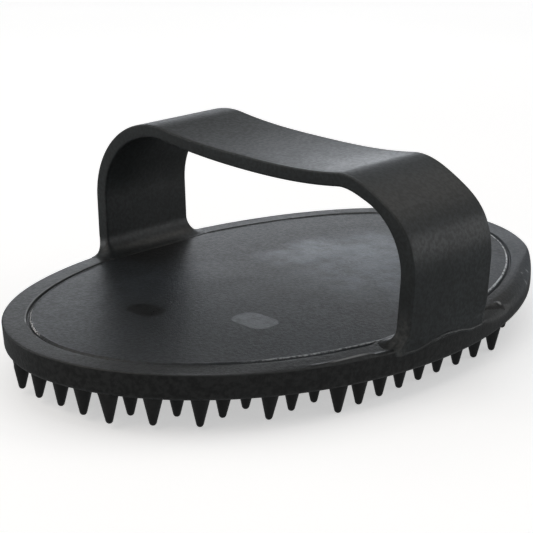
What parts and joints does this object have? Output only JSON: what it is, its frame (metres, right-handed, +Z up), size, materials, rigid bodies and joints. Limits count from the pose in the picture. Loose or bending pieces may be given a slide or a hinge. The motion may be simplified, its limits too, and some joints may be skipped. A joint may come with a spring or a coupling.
{
  "type": "curry comb",
  "caption": "Oval moulded rubber grooming comb with rows of blunt conical teeth below and a wide band handle arching across the short axis.",
  "frame": {"origin": "below the middle of the oval pad, on the plane of the lowest tooth tips", "axes": "+X along the oval's long axis, +Y across it from the right foot of the handle to the left foot, +Z up from the teeth to the handle"},
  "size_m": [0.174, 0.1161, 0.0561],
  "materials": {
    "pad_rubber": "satin black, slightly dusty",
    "panel_rubber": "satin black with a faint grey bloom",
    "handle_rubber": "satin black, smooth moulded skin",
    "teeth_rubber": "matt black"
  },
  "bodies": {
    "root": {"pad_body": "pad_rubber", "top_panel": "panel_rubber", "handle_strap": "handle_rubber", "teeth_row_01": "teeth_rubber", "teeth_row_02": "teeth_rubber", "teeth_row_03": "teeth_rubber", "teeth_row_04": "teeth_rubber", "teeth_row_05": "teeth_rubber", "teeth_row_06": "teeth_rubber", "teeth_row_07": "teeth_rubber", "teeth_row_08": "teeth_rubber", "teeth_row_09": "teeth_rubber", "teeth_row_10": "teeth_rubber", "teeth_row_11": "teeth_rubber", "teeth_row_12": "teeth_rubber", "teeth_row_13": "teeth_rubber"}
  },
  "joints": []
}
